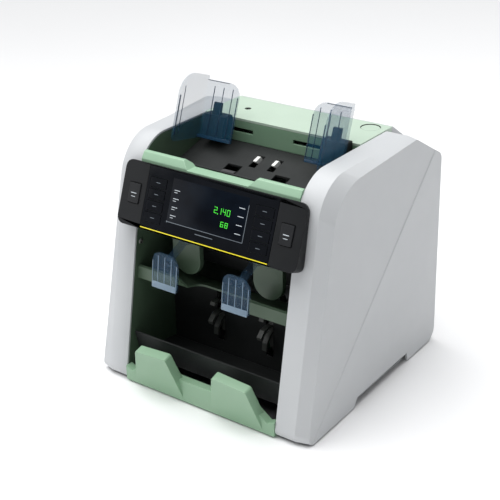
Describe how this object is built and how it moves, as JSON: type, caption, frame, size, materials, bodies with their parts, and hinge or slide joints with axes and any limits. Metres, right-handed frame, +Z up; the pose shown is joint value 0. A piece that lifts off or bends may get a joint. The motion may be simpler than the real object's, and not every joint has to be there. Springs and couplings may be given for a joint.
{
  "type": "banknote counting machine",
  "caption": "Desktop banknote counter with a feed hopper and sliding clear guides, a tilted control panel, an upper reject pocket and a lower stacking pocket.",
  "frame": {"origin": "under the middle of the machine's overall length and width, on the surface it stands on", "axes": "+Z up, the machine's front faces -Y, +X towards the right-hand end of its control panel seen from the front"},
  "size_m": [0.2718, 0.2806, 0.3117],
  "materials": {
    "cover_white": "fine moulded satin",
    "lip_green": "fine moulded satin",
    "pocket_green": "matte moulded",
    "panel_charcoal": "matte moulded",
    "window_black": "gloss film",
    "key_black": "soft-touch key",
    "inner_black": "matte moulded",
    "guide_clear": "clear, lightly blue",
    "zinc_steel": "zinc-plated sheet",
    "shaft_steel": "ground bright",
    "roller_rubber": "matte",
    "sensor_white": "smooth",
    "circuit_board": "solder-masked laminate",
    "gear_acetal": "self-coloured acetal"
  },
  "bodies": {
    "chassis": {"base_pan": "zinc_steel", "cheek_left": "pocket_green", "cheek_right": "pocket_green", "side_frame_left": "zinc_steel", "side_frame_right": "zinc_steel", "side_cover_left": "cover_white", "side_cover_right": "cover_white", "stacker_front": "lip_green", "pocket_divider": "inner_black", "pocket_back_wall": "inner_black", "reject_tray": "pocket_green", "note_deflector": "pocket_green", "pocket_roof": "inner_black", "stop_shaft": "shaft_steel", "panel_housing": "panel_charcoal", "panel_window": "window_black", "display_board": "circuit_board", "front_lip": "lip_green", "hopper_floor": "inner_black", "hopper_wall": "pocket_green", "top_cover": "lip_green", "guide_rail": "shaft_steel", "rear_panel": "cover_white", "power_inlet": "inner_black", "power_supply": "zinc_steel", "main_board": "circuit_board", "main_motor": "zinc_steel", "drive_belt": "roller_rubber", "foot_front_left": "roller_rubber", "foot_front_right": "roller_rubber", "foot_rear_left": "roller_rubber", "foot_rear_right": "roller_rubber"},
    "guide_left": {"hopper_guide_left": "guide_clear", "guide_slider_left": "inner_black"},
    "guide_right": {"hopper_guide_right": "guide_clear", "guide_slider_right": "inner_black"},
    "rack_pinion": {"rack_pinion": "gear_acetal"},
    "rear_door": {"rear_door": "cover_white"},
    "release_button": {"release_button": "lip_green"},
    "restart_key": {"restart_key": "key_black"},
    "start_key": {"start_key": "key_black"},
    "note_stop_left": {"note_stop_left": "guide_clear"},
    "note_stop_right": {"note_stop_right": "guide_clear"},
    "stacker": {"stacker_shaft": "shaft_steel", "stacker_wheel_left": "gear_acetal", "stacker_wheel_right": "gear_acetal"},
    "feed_roller": {"feed_roller": "roller_rubber"},
    "pickup_roller": {"pickup_roller": "roller_rubber"},
    "motor_pulley": {"motor_pulley": "inner_black"},
    "note_sensor_left": {"note_sensor_left": "sensor_white"},
    "note_sensor_right": {"note_sensor_right": "sensor_white"},
    "power_switch": {"power_switch": "inner_black"},
    "menu_key_left_1": {"menu_key_left_1": "key_black"},
    "menu_key_left_2": {"menu_key_left_2": "key_black"},
    "menu_key_left_3": {"menu_key_left_3": "key_black"},
    "menu_key_left_4": {"menu_key_left_4": "key_black"},
    "menu_key_right_1": {"menu_key_right_1": "key_black"},
    "menu_key_right_2": {"menu_key_right_2": "key_black"},
    "menu_key_right_3": {"menu_key_right_3": "key_black"},
    "menu_key_right_4": {"menu_key_right_4": "key_black"}
  },
  "joints": [
    {"name": "guide_left_slide", "type": "slide", "parent": "chassis", "child": "guide_left", "axis": [1, 0, 0], "range_m": [0, 0.035]},
    {"name": "guide_right_slide", "type": "slide", "parent": "chassis", "child": "guide_right", "axis": [-1, 0, 0], "range_m": [0, 0.035]},
    {"name": "rack_pinion_turn", "type": "hinge", "parent": "chassis", "child": "rack_pinion", "pos_m": [0, 0.0428, 0.2435], "axis": [0, 1, 0], "range_deg": [0, 251]},
    {"name": "rear_door_hinge", "type": "hinge", "parent": "chassis", "child": "rear_door", "pos_m": [0, 0.13378, 0.071], "axis": [-1, 0, 0], "range_deg": [0, 80]},
    {"name": "release_press", "type": "slide", "parent": "chassis", "child": "release_button", "axis": [0, 0, -1], "range_m": [0, 0.003], "stiffness_N_per_m": 400, "springref_m": -0.0005},
    {"name": "restart_press", "type": "slide", "parent": "chassis", "child": "restart_key", "axis": [0, 0.9339, -0.3575], "range_m": [0, 0.0012], "stiffness_N_per_m": 500},
    {"name": "start_press", "type": "slide", "parent": "chassis", "child": "start_key", "axis": [0, 0.9339, -0.3575], "range_m": [0, 0.0012], "stiffness_N_per_m": 500},
    {"name": "note_stop_left_swing", "type": "hinge", "parent": "chassis", "child": "note_stop_left", "pos_m": [-0.0447, -0.08022, 0.164], "axis": [-1, 0, 0], "range_deg": [0, 25]},
    {"name": "note_stop_right_swing", "type": "hinge", "parent": "chassis", "child": "note_stop_right", "pos_m": [0.0447, -0.08022, 0.164], "axis": [-1, 0, 0], "range_deg": [0, 25]},
    {"name": "stacker_spin", "type": "hinge", "parent": "chassis", "child": "stacker", "pos_m": [0, -0.02922, 0.065], "axis": [1, 0, 0], "continuous": true},
    {"name": "feed_spin", "type": "hinge", "parent": "chassis", "child": "feed_roller", "pos_m": [0, -0.04822, 0.1935], "axis": [1, 0, 0], "continuous": true},
    {"name": "pickup_spin", "type": "hinge", "parent": "chassis", "child": "pickup_roller", "pos_m": [0, -0.02422, 0.2123], "axis": [1, 0, 0], "continuous": true},
    {"name": "motor_spin", "type": "hinge", "parent": "chassis", "child": "motor_pulley", "pos_m": [0.1, 0.07178, 0.07], "axis": [1, 0, 0], "continuous": true},
    {"name": "note_sensor_left_swing", "type": "hinge", "parent": "chassis", "child": "note_sensor_left", "pos_m": [-0.0115, 0.00878, 0.2243], "axis": [1, 0, 0], "range_deg": [0, 12], "stiffness_Nm_per_rad": 0.003},
    {"name": "note_sensor_right_swing", "type": "hinge", "parent": "chassis", "child": "note_sensor_right", "pos_m": [0.0115, 0.00878, 0.2243], "axis": [1, 0, 0], "range_deg": [0, 12], "stiffness_Nm_per_rad": 0.003},
    {"name": "power_rocker", "type": "hinge", "parent": "chassis", "child": "power_switch", "pos_m": [-0.028, 0.13291, 0.036], "axis": [-1, 0, 0], "range_deg": [0, 14]},
    {"name": "menu_key_left_1_press", "type": "slide", "parent": "chassis", "child": "menu_key_left_1", "axis": [0, 0.9339, -0.3575], "range_m": [0, 0.0004], "stiffness_N_per_m": 1500},
    {"name": "menu_key_left_2_press", "type": "slide", "parent": "chassis", "child": "menu_key_left_2", "axis": [0, 0.9339, -0.3575], "range_m": [0, 0.0004], "stiffness_N_per_m": 1500},
    {"name": "menu_key_left_3_press", "type": "slide", "parent": "chassis", "child": "menu_key_left_3", "axis": [0, 0.9339, -0.3575], "range_m": [0, 0.0004], "stiffness_N_per_m": 1500},
    {"name": "menu_key_left_4_press", "type": "slide", "parent": "chassis", "child": "menu_key_left_4", "axis": [0, 0.9339, -0.3575], "range_m": [0, 0.0004], "stiffness_N_per_m": 1500},
    {"name": "menu_key_right_1_press", "type": "slide", "parent": "chassis", "child": "menu_key_right_1", "axis": [0, 0.9339, -0.3575], "range_m": [0, 0.0004], "stiffness_N_per_m": 1500},
    {"name": "menu_key_right_2_press", "type": "slide", "parent": "chassis", "child": "menu_key_right_2", "axis": [0, 0.9339, -0.3575], "range_m": [0, 0.0004], "stiffness_N_per_m": 1500},
    {"name": "menu_key_right_3_press", "type": "slide", "parent": "chassis", "child": "menu_key_right_3", "axis": [0, 0.9339, -0.3575], "range_m": [0, 0.0004], "stiffness_N_per_m": 1500},
    {"name": "menu_key_right_4_press", "type": "slide", "parent": "chassis", "child": "menu_key_right_4", "axis": [0, 0.9339, -0.3575], "range_m": [0, 0.0004], "stiffness_N_per_m": 1500}
  ],
  "couplings": [
    {"joint": "guide_right_slide", "follows": "guide_left_slide", "ratio": 1},
    {"joint": "rack_pinion_turn", "follows": "guide_left_slide", "rad_per_m": 125},
    {"joint": "pickup_spin", "follows": "feed_spin", "ratio": 1.0909},
    {"joint": "motor_spin", "follows": "feed_spin", "ratio": 1}
  ]
}
